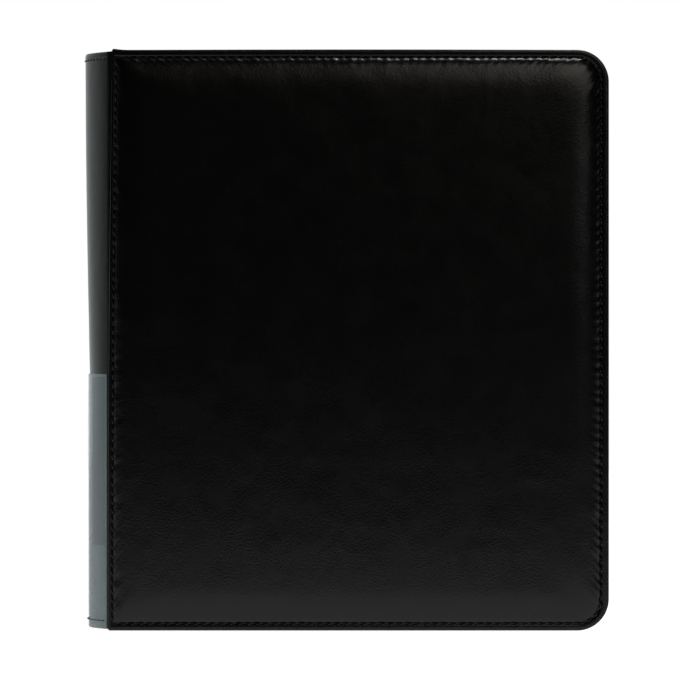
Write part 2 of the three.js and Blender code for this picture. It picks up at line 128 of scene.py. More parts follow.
def lean_at(z):
    return LEAN_LOW + (LEAN_HIGH - LEAN_LOW) * min(max(z / HEIGHT, 0.0), 1.0) ** LEAN_POWER



# ---- Materials ----
class Nodes:
    """A material's node tree with short calls for adding to it."""

    def __init__(self, name):
        self.material = bpy.data.materials.new(name)
        self.material.use_nodes = True
        self.tree = self.material.node_tree
        self.tree.nodes.clear()
        self.output = self.tree.nodes.new("ShaderNodeOutputMaterial")
        self.position = self.add("ShaderNodeTexCoord").outputs["Object"]

    def add(self, kind, inputs=None, **settings):
        node = self.tree.nodes.new(kind)
        for key, value in settings.items():
            setattr(node, key, value)
        for key, value in (inputs or {}).items():
            if isinstance(value, bpy.types.NodeSocket):
                self.tree.links.new(value, node.inputs[key])
            else:
                node.inputs[key].default_value = value
        return node

    def noise(self, scale, detail=4.0, rough=0.55, vector=None, kind="FBM"):
        inputs = {
            "Vector": vector or self.position, "Scale": scale, "Detail": detail, "Roughness": rough,
        }
        return self.add("ShaderNodeTexNoise", inputs, noise_type=kind).outputs[0]

    def cells(self, scale, smooth=0.6):
        inputs = {"Vector": self.position, "Scale": scale, "Smoothness": smooth}
        return self.add("ShaderNodeTexVoronoi", inputs, feature="SMOOTH_F1").outputs["Distance"]

    def scaled(self, x, y, z):
        inputs = {"Vector": self.position, "Scale": (x, y, z)}
        return self.add("ShaderNodeMapping", inputs).outputs[0]

    def range(self, value, low, high, to_low, to_high):
        inputs = {
            "Value": value, "From Min": low, "From Max": high, "To Min": to_low, "To Max": to_high,
        }
        return self.add("ShaderNodeMapRange", inputs).outputs[0]

    def colours(self, value, low, high, first, second):
        ramp = self.add("ShaderNodeValToRGB", {"Fac": value})
        ramp.color_ramp.elements[0].position = low
        ramp.color_ramp.elements[1].position = high
        ramp.color_ramp.elements[0].color = (*first, 1)
        ramp.color_ramp.elements[1].color = (*second, 1)
        return ramp.outputs[0]

    def bump(self, height, strength, distance, under=None):
        inputs = {"Height": height, "Strength": strength, "Distance": distance}
        if under is not None:
            inputs["Normal"] = under
        return self.add("ShaderNodeBump", inputs).outputs[0]

    def finish(self, **inputs):
        keys = {k.replace("_", " "): v for k, v in inputs.items()}
        shader = self.add("ShaderNodeBsdfPrincipled", keys)
        self.tree.links.new(shader.outputs[0], self.output.inputs[0])
        return self.material


def leatherette(name, dark, light, gloss, grain):
    """Glossy leatherette: fine grain, pebbles, creases and soft dents, from small to large."""
    n = Nodes(name)
    pebbles = n.cells(950)
    creases = n.noise(120, 6, 0.6, vector=n.scaled(1, 1, 0.7), kind="RIDGED_MULTIFRACTAL")
    fine = n.noise(2600, 3, 0.6)
    soft = n.noise(38, 3, 0.5)
    shade = n.colours(n.noise(55, 5), 0.3, 0.75, dark, light)
    normal = n.bump(fine, 0.10 * grain, 0.0002)
    normal = n.bump(pebbles, 0.30 * grain, 0.0003, normal)
    normal = n.bump(creases, 0.34 * grain, 0.0006, normal)
    normal = n.bump(soft, 0.10 * grain, 0.003, normal)
    rough = n.range(n.noise(60, 5), 0.3, 0.75, gloss - 0.02, gloss + 0.025)
    return n.finish(
        Base_Color=shade, Roughness=rough, Normal=normal, Specular_IOR_Level=0.5,
        Coat_Weight=0.1, Coat_Roughness=0.25, IOR=1.5,
    )


def woven_thread(name, colour):
    """Twisted, waxed thread, darker in the grooves of its twist: painted shade."""
    n = Nodes(name)
    twist = n.add(
        "ShaderNodeTexWave",
        {"Vector": n.position, "Scale": 900.0, "Distortion": 1.5, "Detail": 1.0},
        bands_direction="DIAGONAL",
    ).outputs["Fac"]
    # Painted shade: the colour darkens where the twist's bump is low, in its grooves.
    shade = n.colours(twist, 0.2, 0.9, tuple(c * 0.5 for c in colour), colour)
    return n.finish(
        Base_Color=shade, Roughness=0.24, Normal=n.bump(twist, 0.12, 0.0001), Sheen_Weight=0.1,
        Sheen_Roughness=0.4, Coat_Weight=0.7, Coat_Roughness=0.12,
    )


def moulded(name, dark, light, gloss, scale, bump, alpha=None, coat=0.0, sheen=0.0):
    """Sheet, board, foam or film with a surface texture of one scale."""
    n = Nodes(name)
    shade = n.colours(n.noise(70, 4), 0.3, 0.72, dark, light)
    rough = n.range(n.noise(scale * 0.4, 5), 0.3, 0.75, gloss * 0.8, gloss * 1.25)
    normal = n.bump(n.noise(scale, 4), bump, 0.0002)
    inputs = dict(
        Base_Color=shade, Roughness=rough, Normal=normal, Coat_Weight=coat, Sheen_Weight=sheen
    )
    if coat:
        inputs["Coat_Roughness"] = 0.08
    if alpha is not None:
        inputs["Alpha"] = alpha
    return n.finish(**inputs)


def plated(name):
    """Nickel-plated steel with faint drawing lines."""
    n = Nodes(name)
    brushed = n.noise(300, 4, vector=n.scaled(6, 6, 0.15))
    shade = n.colours(n.noise(90, 3), 0.3, 0.75, (0.58, 0.59, 0.6), (0.74, 0.745, 0.75))
    rough = n.range(brushed, 0.3, 0.7, 0.13, 0.26)
    normal = n.bump(brushed, 0.05, 0.0002)
    return n.finish(Base_Color=shade, Roughness=rough, Metallic=1.0, Normal=normal)


LEATHER = leatherette(
    "black_leatherette", (0.0012, 0.0012, 0.0011), (0.0017, 0.0017, 0.0016), gloss=0.27, grain=0.5
)
SPINE_LEATHER = leatherette(
    "spine_leatherette", (0.003, 0.003, 0.003), (0.0052, 0.0052, 0.0052), gloss=0.3, grain=0.45
)
THREAD = woven_thread("black_thread", (0.007, 0.007, 0.0066))
LINING = moulded(
    "embossed_lining", (0.008, 0.008, 0.009), (0.014, 0.014, 0.015), gloss=0.42, scale=1500,
    bump=0.35,
)
POCKET = moulded(
    "pocket_sheet", (0.012, 0.012, 0.013), (0.02, 0.02, 0.021), gloss=0.25, scale=400, bump=0.1,
    coat=0.3,
)
BOARD = moulded(
    "grey_board", (0.16, 0.14, 0.115), (0.3, 0.27, 0.23), gloss=0.85, scale=2200, bump=0.4
)
FOAM = moulded("pad_foam", (0.5, 0.49, 0.44), (0.68, 0.67, 0.61), gloss=0.95, scale=1800, bump=0.6)
# Frosted film: a pale tone of its own, made about twice as bright to stand in for light reflected off
# it, so partly painted reflection.
FILM = moulded(
    "frosted_film", (0.43, 0.56, 0.58), (0.47, 0.60, 0.62), gloss=0.3, scale=60, bump=0.02,
    alpha=0.32, coat=1.0, sheen=1.0,
)
# Holder sheet: a pale tone of its own, made about twice as bright to stand in for light reflected off
# it, so partly painted reflection.
HOLDER = moulded(
    "holder_sheet", (0.40, 0.53, 0.55), (0.44, 0.57, 0.59), gloss=0.3, scale=80, bump=0.03, coat=1.0
)
PAPER = moulded(
    "label_card", (0.145, 0.205, 0.222), (0.165, 0.23, 0.247), gloss=0.5, scale=2600, bump=0.1,
    coat=0.7,
)
STEEL = plated("plated_steel")
PAGE = moulded(
    "page_pockets", (0.012, 0.012, 0.013), (0.022, 0.022, 0.024), gloss=0.16, scale=260, bump=0.1,
    coat=0.6,
)
STRIP = moulded(
    "page_strip", (0.016, 0.016, 0.017), (0.026, 0.026, 0.028), gloss=0.2, scale=400, bump=0.1,
    coat=0.5,
)


# ---- Mesh helpers ----
SHARP_PIECE, SHARP_NODE = 50, 38  # degrees
BEVEL_FROM = 32  # degrees
FLAT_WITHIN = 1.5  # degrees


def make_piece(name, verts, faces, material, body, slot, replaced=()):
    """A smooth mesh object that rides on a body and stands for the CAD nodes it replaces."""
    mesh = bpy.data.meshes.new(name)
    mesh.from_pydata([tuple(v) for v in verts], [], [tuple(f) for f in faces])
    mesh.validate()
    mesh.materials.append(material)
    piece = bpy.data.objects.new(name, mesh)
    bpy.context.scene.collection.objects.link(piece)
    tidy_mesh(mesh)
    mesh.shade_smooth()
    mesh.set_sharp_from_angle(angle=math.radians(SHARP_PIECE))
    if body:
        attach(piece, body)
    if replaced:
        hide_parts(*replaced)
    return piece


def tidy_mesh(mesh):
    """Makes all faces point out."""
    work = bmesh.new()
    work.from_mesh(mesh)
    bmesh.ops.recalc_face_normals(work, faces=work.faces)
    work.to_mesh(mesh)
    work.free()


def refine(node, material, bevel, segments=2):
    """A CAD node's shape with its edges rounded and its curves smooth."""
    source = NODES[node]
    mesh = source.data.copy()
    work = bmesh.new()
    work.from_mesh(mesh)
    bmesh.ops.remove_doubles(work, verts=work.verts, dist=1e-6)
    bmesh.ops.dissolve_limit(
        work, angle_limit=math.radians(FLAT_WITHIN), verts=work.verts, edges=work.edges
    )
    limit = math.radians(BEVEL_FROM)
    sharp = [e for e in work.edges if len(e.link_faces) == 2 and e.calc_face_angle(0) > limit]
    bmesh.ops.bevel(
        work, geom=sharp, offset=bevel, segments=segments, profile=0.5, affect="EDGES",
        clamp_overlap=True,
    )
    bmesh.ops.triangulate(work, faces=[f for f in work.faces if len(f.verts) > 4])
    work.to_mesh(mesh)
    work.free()
    mesh.materials.clear()
    mesh.materials.append(material)
    piece = bpy.data.objects.new(f"{node}_finish", mesh)
    bpy.context.scene.collection.objects.link(piece)
    mesh.shade_smooth()
    mesh.set_sharp_from_angle(angle=math.radians(SHARP_NODE))
    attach(piece, source["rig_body"])
    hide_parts(node)
    return piece


# ---- Cover outline ----
def rim_points(inset, counts, corner=CORNER):
    """The cover's outline, inset: N x 2 points anticlockwise from the low left corner."""
    grow = {k: inset + (s - 1) * min(inset, SEAM) for k, s in SIDE_SCALE.items()}
    left, right = LEFT + grow["left"], RIGHT - grow["right"]
    low, high = grow["low"], HEIGHT - grow["high"]
    past = max(inset - SEAM, 0)
    far = max(corner - min(inset, SEAM), 0.5 * MM) + 0.25 * past if corner else 0.5 * MM
    near = max(SPINE_CORNER - inset, 0.35 * MM) + (0.7 * past if corner else 0)
    across, up, far_arc, near_arc = counts
    points = []

    def arc(cx, cz, radius, start, n):
        for i in range(n):
            a = start + 0.5 * math.pi * i / n
            points.append((cx + radius * math.cos(a), cz + radius * math.sin(a)))

    def line(a, b, n):
        for i in range(n):
            points.append((a[0] + (b[0] - a[0]) * i / n, a[1] + (b[1] - a[1]) * i / n))

    arc(left + near, low + near, near, math.pi, near_arc)
    line((left + near, low), (right - far, low), across)
    arc(right - far, low + far, far, 1.5 * math.pi, far_arc)
    line((right, low + far), (right, high - far), up)
    arc(right - far, high - far, far, 0, far_arc)
    line((right - far, high), (left + near, high), across)
    arc(left + near, high - near, near, 0.5 * math.pi, near_arc)
    line((left, high - near), (left, low + near), up)
    return np.array(points)


def lean(x, z):
    """Where a point of the front cover moves to as its spine edge leans."""
    return x + lean_at(z) * max(0.0, 1 - (x - LEFT) / LEAN_REACH)


def ripple(x, z, scale, seed):
    return noise.fractal(Vector((x * scale, z * scale, seed)), 1.0, 2.0, 3)


def cover_skin(side, body):
    """The padded leatherette of one cover: flange, stitched seam, foam shoulder and crown."""
    sign = -1 if side == "front" else 1
    seed = 3.1 if side == "front" else 8.7
    across, up = round((RIGHT - LEFT) / PERIMETER_STEP), round(HEIGHT / PERIMETER_STEP)
    counts = (across, up, FAR_ARC, NEAR_ARC)
    rings = []
    outer = rim_points(SEAM, counts)
    steps = np.linalg.norm(np.roll(outer, -1, 0) - outer, axis=1)
    travel = np.concatenate([[0], np.cumsum(steps)[:-1]])
    pucker = 0.5 + 0.5 * np.cos(2 * math.pi * travel / STITCH_PITCH)
    for d_mm, h_mm in SECTION:
        d = d_mm * MM
        flat = rim_points(d, counts)
        rows = []
        for k, (x, z) in enumerate(flat):
            h = h_mm
            pull = pucker[k] * (0.45 if x - LEFT < 2 * SEAM else 1.0)
            if 3.2 <= d_mm <= 4.5:
                h -= 0.30 * pull * (1 - abs(d_mm - 4.0) / 0.9)
            if 4.4 <= d_mm <= 10:
                fade = (10 - d_mm) / 5.6
                close = max(0.0, (7.0 - d_mm) / 2.6)
                h += fade * (0.2 + 0.3 * close) * (0.5 - pull)
                h += fade * 0.3 * ripple(x, z, 210, seed)
            if 0.3 < d_mm < 3.5:
                h += 0.07 * ripple(x, z, 90, seed + 2)
            if d_mm > 6:
                h += 0.16 * ripple(x, z, 34, seed + 5)
            rows.append((x, z, FLANGE_FACE + h * MM))
        rings.append(rows)
    # The last ring is a plain rectangle whose sides take as many points as the rings outside it.
    box = rim_points(SECTION[-1][0] * MM + CROWN_INSET, counts, corner=0)
    x0, z0 = box.min(0)
    x1, z1 = box.max(0)
    start = NEAR_ARC // 2
    columns = across + (NEAR_ARC + FAR_ARC) // 2
    right_count, left_count = up + FAR_ARC, up + NEAR_ARC
    edge = [(x0 + (x1 - x0) * i / columns, z0) for i in range(columns)]
    edge += [(x1, z0 + (z1 - z0) * j / right_count) for j in range(right_count)]
    edge += [(x1 + (x0 - x1) * i / columns, z1) for i in range(columns)]
    edge += [(x0, z1 + (z0 - z1) * j / left_count) for j in range(left_count)]
    edge = edge[-start:] + edge[:-start]
    total = len(edge)

    def crown(x, z):
        waves = 0.16 * ripple(x, z, 34, seed + 5) + 0.06 * ripple(x, z, 120, seed)
        return FLANGE_FACE + (SECTION[-1][1] + waves) * MM

    rings.append([(x, z, crown(x, z)) for x, z in edge])

    points = [p for ring in rings for p in ring]
    faces = []
    for r in range(len(rings) - 1):
        for k in range(total):
            j = (k + 1) % total
            faces.append((r * total + k, r * total + j, (r + 1) * total + j, (r + 1) * total + k))
    inner_ring = (len(rings) - 1) * total
    # A grid over the crown, joined to the last ring by triangles.
    base = len(points)
    for j in range(CROWN_ROWS + 1):
        for i in range(CROWN_COLUMNS + 1):
            inner_share = 1 - 2 * GRID_MARGIN
            x = x0 + (x1 - x0) * (GRID_MARGIN + inner_share * i / CROWN_COLUMNS)
            z = z0 + (z1 - z0) * (GRID_MARGIN + inner_share * j / CROWN_ROWS)
            points.append((x, z, crown(x, z)))

    def at(i, j):
        return base + j * (CROWN_COLUMNS + 1) + i

    for j in range(CROWN_ROWS):
        for i in range(CROWN_COLUMNS):
            faces.append((at(i, j), at(i + 1, j), at(i + 1, j + 1), at(i, j + 1)))
    grid_loop = (
        [at(i, 0) for i in range(CROWN_COLUMNS)]
        + [at(CROWN_COLUMNS, j) for j in range(CROWN_ROWS)]
        + [at(CROWN_COLUMNS - i, CROWN_ROWS) for i in range(CROWN_COLUMNS)]
        + [at(0, CROWN_ROWS - j) for j in range(CROWN_ROWS)]
    )
    ring_loop = [inner_ring + (k + start) % total for k in range(total)]
    faces += stitch_loops(points, ring_loop, grid_loop)
    # The turned edge behind the flange, and the hidden back.
    previous = 0
    for d, rise in TURNED_EDGE:
        here = len(points)
        points += [(x, z, BOARD_BACK + rise) for x, z in rim_points(d, counts)]
        for k in range(total):
            j = (k + 1) % total
            faces.append((previous + j, previous + k, here + k, here + j))
        previous = here
    faces.append([previous + k for k in range(total)][::-1])
    verts = []
    for x, z, depth in points:
        if side == "front":
            share = min(max((RIGHT - x) / (RIGHT - LEFT), 0), 1)
            x = lean(x, z)
            ear = math.exp(-(((x - LEFT) / (5 * MM)) ** 2 + ((z - HEIGHT) / (4 * MM)) ** 2))
            z += TOP_EAR * ear
            z += TOP_BOW * math.sin(math.pi * share) * max(0.0, (z - MID_Z) / MID_Z)
        verts.append((x, sign * depth, z))
    name = f"{side}_padded_skin"
    piece = make_piece(name, verts, faces, LEATHER, body, "leatherette", (f"{side}_skin",))


def stitch_loops(points, outer, inner):
    """Triangles between two closed loops of different counts that start at the same corner."""
    faces = []
    a, b = 0, 0
    na, nb = len(outer), len(inner)

    def length(loop):
        p = np.array([points[i][:2] for i in loop])
        steps = np.linalg.norm(np.roll(p, -1, 0) - p, axis=1)
        return np.concatenate([[0], np.cumsum(steps)]) / steps.sum()

    la, lb = length(outer), length(inner)
    while a < na or b < nb:
        go_outer = b >= nb or (a < na and la[a + 1] <= lb[b + 1])
        if go_outer:
            faces.append((outer[a % na], outer[(a + 1) % na], inner[b % nb]))
            a += 1
        else:
            faces.append((outer[a % na], inner[(b + 1) % nb], inner[b % nb]))
            b += 1
    return faces


# ---- Stitching ----
STITCH_LENGTH = 0.72  # of the pitch
STITCH_RINGS, STITCH_SIDES = 8, 7
STITCH_LOOK = 0.4 * MM  # along the path, for its direction


def stitch_run(path, ups, pitch, closed, radius=0.3 * MM, slant=0.0, sink=0.02 * MM):
    """Short thread arches along a path. ups are the surface normals at its points."""
    path = np.array(path, float)
    ups = np.array(ups, float)
    if closed:
        path = np.vstack([path, path[:1]])
        ups = np.vstack([ups, ups[:1]])
    steps = np.linalg.norm(np.diff(path, axis=0), axis=1)
    travel = np.concatenate([[0], np.cumsum(steps)])
    count = max(1, round(travel[-1] / pitch))
    pitch = travel[-1] / count
    verts, faces = [], []

    def at(t, table):
        return np.array([np.interp(t, travel, table[:, k]) for k in range(3)])

    for s in range(count):
        centre = (s + 0.5) * pitch
        base = len(verts)
        for r in range(STITCH_RINGS + 1):
            u = r / STITCH_RINGS
            t = centre + (u - 0.5) * pitch * STITCH_LENGTH
            here = min(max(t, 0), travel[-1])
            forward = at(min(t + STITCH_LOOK, travel[-1]), path) - at(max(t - STITCH_LOOK, 0), path)
            forward /= np.linalg.norm(forward) + 1e-12
            up = at(here, ups)
            up /= np.linalg.norm(up)
            side = np.cross(up, forward)
            arch = math.sin(math.pi * u) ** 0.6
            lift = up * (arch * radius * 1.5 - sink)
            middle = at(here, path) + lift + side * slant * (u - 0.5)
            wide = radius * (0.35 + 0.65 * arch)
            for q in range(STITCH_SIDES):
                a = 2 * math.pi * q / STITCH_SIDES
                verts.append(middle + wide * (math.cos(a) * side + math.sin(a) * up))
        faces += tube_faces(base, STITCH_RINGS, STITCH_SIDES)
    return verts, faces


def bezier(points, n):
    """n + 1 points along a curve with three or four control points."""
    p = [Vector(q) for q in points]
    if len(p) == 3:
        weights = [lambda t: (1 - t) ** 2, lambda t: 2 * (1 - t) * t, lambda t: t**2]
    else:
        weights = [
            lambda t: (1 - t) ** 3, lambda t: 3 * (1 - t) ** 2 * t, lambda t: 3 * (1 - t) * t**2,
            lambda t: t**3,
        ]
    curve = []
    for k in range(n + 1):
        curve.append(sum((w(k / n) * q for w, q in zip(weights, p)), Vector((0, 0))))
    return curve


def tube_faces(base, lengths, sides):
    """Faces of a closed tube whose rings of points start at a base index."""
    faces = []
    for r in range(lengths):
        row = base + r * sides
        for q in range(sides):
            w = (q + 1) % sides
            faces.append((row + q, row + w, row + sides + w, row + sides + q))
    faces.append([base + q for q in range(sides)][::-1])
    faces.append([base + lengths * sides + q for q in range(sides)])
    return faces


def joined(parts):
    """Several meshes' points and faces as one."""
    verts, faces = [], []
    for v, f in parts:
        base = len(verts)
        verts += list(v)
        faces += [[base + i for i in face] for face in f]
    return verts, faces


def cover_stitches(side, body):
    """The seam's stitches, in its groove outside and on the lining inside."""
    sign = -1 if side == "front" else 1
    flat = rim_points(SEAM, (170, 200, FAR_ARC, NEAR_ARC))
    leaning = [(lean(x, z) if side == "front" else x, z) for x, z in flat]
    outer = [(x, sign * (FLANGE_FACE - GROOVE), z) for x, z in leaning]
    inner = [(x, sign * INSIDE, z) for x, z in leaning]
    parts = [
        stitch_run(outer, [(0, sign, 0)] * len(outer), STITCH_PITCH, True, slant=0.55 * MM),
        stitch_run(inner, [(0, -sign, 0)] * len(inner), STITCH_PITCH, True, sink=0.4 * MM),
    ]
    make_piece(f"{side}_cover_stitching", *joined(parts), THREAD, body, "leatherette")


# ---- Spine ----
def on_spine(angle, radius, z):
    """A point at an angle from the spine's middle, positive towards the rear cover."""
    share = min(max((z - SWELL_FROM) / (HEIGHT - SWELL_FROM), 0), 1)
    swell = SWELL * math.sin(0.5 * math.pi * share)
    middle = (math.cos(angle) - math.cos(SPINE_ANGLE)) / (1 - math.cos(SPINE_ANGLE))
    x = SPINE_CENTRE_X - radius * math.cos(angle) - swell * max(middle, 0.0) ** 4
    if angle < 0:
        x += FOLD_SHIFT * (angle / SPINE_ANGLE) ** 2
    return (x, radius * math.sin(angle), z)


def spine_skin():
    """The spine's leatherette, with a rounded end, a turned hem and a stitch groove at each end."""
    low, high = SPINE_LOW.z, SPINE_HIGH.z
    across, tall = 40, 130
    zs = sorted(set(
        [low + (high - low) * j / tall for j in range(tall + 1)]
        + [low + HEM * k / 6 for k in range(12)] + [high - HEM * k / 6 for k in range(12)]
    ))
    rows_out, rows_in = [], []
    for z in zs:
        out_row, in_row = [], []
        for i in range(across + 1):
            a = -SKIN_ANGLE + 2 * SKIN_ANGLE * i / across
            end = min(z - low, high - z)
            rise = hump(end - HEM * 0.5, 0.10 * MM, 1.6 * MM)
            rise -= hump(end - HEM, 0.3 * MM, 0.5 * MM)
            rise -= hump(end, 0.42 * MM, 0.7 * MM)
            rise += 0.05 * MM * ripple(a * SPINE_RADIUS, z, 60, 12.0)
            out_row.append(on_spine(a, SPINE_RADIUS + rise, z))
            in_row.append(on_spine(a, SPINE_RADIUS - SKIN_THICK, z))
        rows_out.append(out_row)
        rows_in.append(in_row)
    verts, faces = closed_sheet(rows_out, rows_in)
    replaced = ("spine_skin",)
    make_piece("spine_leather", verts, faces, SPINE_LEATHER, "spine", "leatherette", replaced)


def hump(distance, height, width):
    return height * math.exp(-((distance / width) ** 2))


def closed_sheet(front, back):
    """A closed solid between two equal grids of points."""
    rows, columns = len(front), len(front[0])
    verts = [p for row in front for p in row] + [p for row in back for p in row]
    half = rows * columns
    faces = []
    for j in range(rows - 1):
        for i in range(columns - 1):
            a, b = j * columns + i, j * columns + i + 1
            c, d = a + columns, b + columns
            faces.append((a, b, d, c))
            faces.append((half + a, half + c, half + d, half + b))
    border = (
        [i for i in range(columns - 1)]
        + [j * columns + columns - 1 for j in range(rows - 1)]
        + [(rows - 1) * columns + i for i in range(columns - 1, 0, -1)]
        + [j * columns for j in range(rows - 1, 0, -1)]
    )
    for k, a in enumerate(border):
        b = border[(k + 1) % len(border)]
        faces.append((b, a, half + a, half + b))
    return verts, faces


def spine_hems():
    """A row of stitches along the spine's top hem, and one through the label holder's foot."""
    parts = []
    for z, rise in ((SPINE_HIGH.z - HEM, -0.1 * MM), (SPINE_LOW.z + LOW_HEM, 0.84 * MM)):
        angles = np.linspace(-SKIN_ANGLE * 0.97, SKIN_ANGLE * 0.97, 60)
        path = [on_spine(a, SPINE_RADIUS + rise, z) for a in angles]
        ups = [(-math.cos(a), math.sin(a), 0) for a in angles]
        parts.append(
            stitch_run(path, ups, HEM_PITCH, False, slant=0.4 * MM, radius=0.32 * MM, sink=0.1 * MM)
        )
    make_piece("spine_hem_stitching", *joined(parts), THREAD, "spine", "leatherette")


FOLD_STEPS, FOLD_ROWS = 16, 120
TAB_REACH = 4 * MM  # in under the cover's edge
FOLD_AHEAD = 1.1 * MM  # along the spine's curve before the bend
FOLD_BEND = 0.35 * MM
FOLD_CREASE = 0.05 * MM


def fold_strip(side):
    """The leatherette that bends between the spine and one cover, with a soft crease."""
    sign = -1 if side == "front" else 1
    face = FOLD_DEPTH + SKIN_THICK / 2
    along = Vector((math.sin(SKIN_ANGLE), math.cos(SKIN_ANGLE)))
    start = Vector((SPINE_CENTRE_X - SPINE_RADIUS * along.y, SPINE_RADIUS * along.x))
    bend = Vector((FOLD_X + FOLD_BEND, face))
    end = Vector((LEFT + TAB_REACH, face))
    curve = bezier([start, start + along * FOLD_AHEAD, bend, end], FOLD_STEPS)
    start_share = (SKIN_ANGLE / SPINE_ANGLE) ** 2
    front, back = [], []
    for j in range(FOLD_ROWS + 1):
        z = SPINE_LOW.z + (SPINE_HIGH.z - SPINE_LOW.z) * j / FOLD_ROWS
        out_row, in_row = [], []
        for k, p in enumerate(curve):
            q = curve[min(k + 1, FOLD_STEPS)] - curve[max(k - 1, 0)]
            q.normalize()
            normal = Vector((-q.y, q.x))
            middle = math.sin(math.pi * k / FOLD_STEPS)
            crease = FOLD_CREASE * ripple(p.x * 3, z, 150, 20.0) * middle
            share = start_share + (1 - start_share) * k / FOLD_STEPS
            shift = Vector((FOLD_SHIFT * share if side == "front" else 0, 0))
            outside = p + normal * crease + shift
            inside = p - normal * SKIN_THICK + shift
            out_row.append((outside.x, sign * outside.y, z))
            in_row.append((inside.x, sign * inside.y, z))
        front.append(out_row)
        back.append(in_row)
    name, node = f"{side}_fold_leather", f"{side}_fold"
    verts, faces = closed_sheet(front, back)
    strip = make_piece(name, verts, faces, SPINE_LEATHER, None, "leatherette", (node,))
    if side == "front":
        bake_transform(strip)
    else:
        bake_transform(strip)


SHEET_ACROSS, SHEET_ROWS = 28, 90
SHEET_DIP = 0.12 * MM
HOLDER_GAP, HOLDER_SHEET, HOLDER_FILM = 0.1 * MM, 0.15 * MM, 0.15 * MM
HOLDER_FROM_FOLD = 1.4 * MM
LABEL_FROM_FOLD, LABEL_WIDTH = 2.8 * MM, 12.2 * MM


def curved_sheet(node, outer, thick, angles, bulge=0.0, dip=SHEET_DIP):
    """Points and faces of a label-holder sheet over the spine's curve."""
    low, high = (c[2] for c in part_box(node))
    angle_from, angle_to = angles
    front, back = [], []
    for j in range(SHEET_ROWS + 1):
        v = j / SHEET_ROWS
        z = low + (high - low) * v
        out_row, in_row = [], []
        for i in range(SHEET_ACROSS + 1):
            u = i / SHEET_ACROSS
            a = angle_from + (angle_to - angle_from) * u
            lift = bulge * math.sin(math.pi * u) * math.sin(math.pi * min(v * 1.05, 1)) ** 0.5
            edge = min(u, 1 - u) * (angle_to - angle_from) * SPINE_RADIUS
            lift -= hump(edge, dip, 0.5 * MM)
            out_row.append(on_spine(a, outer + lift, z))
            in_row.append(on_spine(a, outer + lift - thick, z))
        front.append(out_row)
        back.append(in_row)
    return closed_sheet(front, back)


def label_holder():
    """The holder's backing sheet, the label that slides in it, and its frosted film."""
    holder = SPINE_ANGLE - HOLDER_FROM_FOLD / SPINE_RADIUS
    start = SPINE_ANGLE - LABEL_FROM_FOLD / SPINE_RADIUS
    end = start - LABEL_WIDTH / SPINE_RADIUS
    first = SPINE_RADIUS + HOLDER_GAP + HOLDER_SHEET
    second = first + HOLDER_GAP + HOLDER_SHEET
    third = second + HOLDER_GAP + HOLDER_FILM
    round_spine = (-holder, holder)
    label_side = -1 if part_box("label_card")[0][1] < 0 else 1
    on_label = sorted((label_side * start, label_side * end))
    node = "label_holder_sheet"
    verts, faces = curved_sheet(node, first, HOLDER_SHEET, round_spine)
    make_piece("holder_backing", verts, faces, HOLDER, "spine", "film", (node,))
    node = "label_card"
    verts, faces = curved_sheet(node, second, HOLDER_SHEET, on_label, dip=0.0)
    make_piece("label_insert", verts, faces, PAPER, "label", "paper", (node,))
    node = "label_holder_film"
    verts, faces = curved_sheet(node, third, HOLDER_FILM * 0.9, round_spine, bulge=0.06 * MM)
    make_piece("holder_film", verts, faces, FILM, "spine", "film", (node,))


# ---- Ring metal ----
PIVOTS = {side: Vector(JOINTS[name]["pos_m"]) for side, name in
          (("straight", "ring_open"), ("round", "ring_open_inner"))}
METAL_X = (PIVOTS["straight"].x + PIVOTS["round"].x) / 2
WIRE = 1.5 * MM


RING_SIDES = 20
RING_TIP = 0.82  # of the wire's radius, at the end
# The rings' middle lines, across from the plate's middle and over the lining, in millimetres.
STRAIGHT_FOOT, STRAIGHT_TOP = (11, 3.1), (13.2, 33.5)
STRAIGHT_BEND = [STRAIGHT_TOP, (13.9, 43.5), (5.0, 43.5)]
STRAIGHT_END = [(4.2, 43.5), (3.15, 43.5)]
ROUND_CURVE = [(-11, 3.5), (-17, 18), (-20, 43.5), (2.85, 43.5)]


def ring_half(which, level):
    """A round wire with a rounded tip, following its solid's curve."""
    node = f"ring_{level}_{which}_half"
    low, high = (Vector(c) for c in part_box(node))
    z = (low.z + high.z) / 2
    if which == "straight":
        foot, top = Vector(STRAIGHT_FOOT), Vector(STRAIGHT_TOP)
        flat = [foot + (top - foot) * k / 10 for k in range(10)]
        flat += bezier(STRAIGHT_BEND, 16)
        flat += [Vector(p) for p in STRAIGHT_END]
    else:
        flat = bezier(ROUND_CURVE, 34)
    verts = []
    for k, p in enumerate(flat):
        q = flat[min(k + 1, len(flat) - 1)] - flat[max(k - 1, 0)]
        q.normalize()
        normal = Vector((-q.y, q.x))
        radius = WIRE * (RING_TIP if k == len(flat) - 1 else 1.0)
        for s in range(RING_SIDES):
            a = 2 * math.pi * s / RING_SIDES
            u = p.x * MM + radius * math.cos(a) * normal.x
            h = p.y * MM + radius * math.cos(a) * normal.y
            verts.append((METAL_X + u, INSIDE - h, z + radius * math.sin(a)))
    faces = tube_faces(0, len(flat) - 1, RING_SIDES)
    body = "ring_outer" if which == "straight" else "ring_inner"
    make_piece(f"{node}_wire", verts, faces, STEEL, body, "steel", (node,))


# ---- Card pages ----
POCKETS = 3  # across and up
PAGE_ACROSS, PAGE_ROWS = 66, 93
WELD_SIDE, WELD_FOOT = 0.05, 0.04  # of a pocket
POCKET_MOUTH, MOUTH_FADE = 0.95, 0.02
PAGE_CORE = 0.12 * MM
POCKET_FULL, POCKET_SWELL = 0.22 * MM, 0.10 * MM


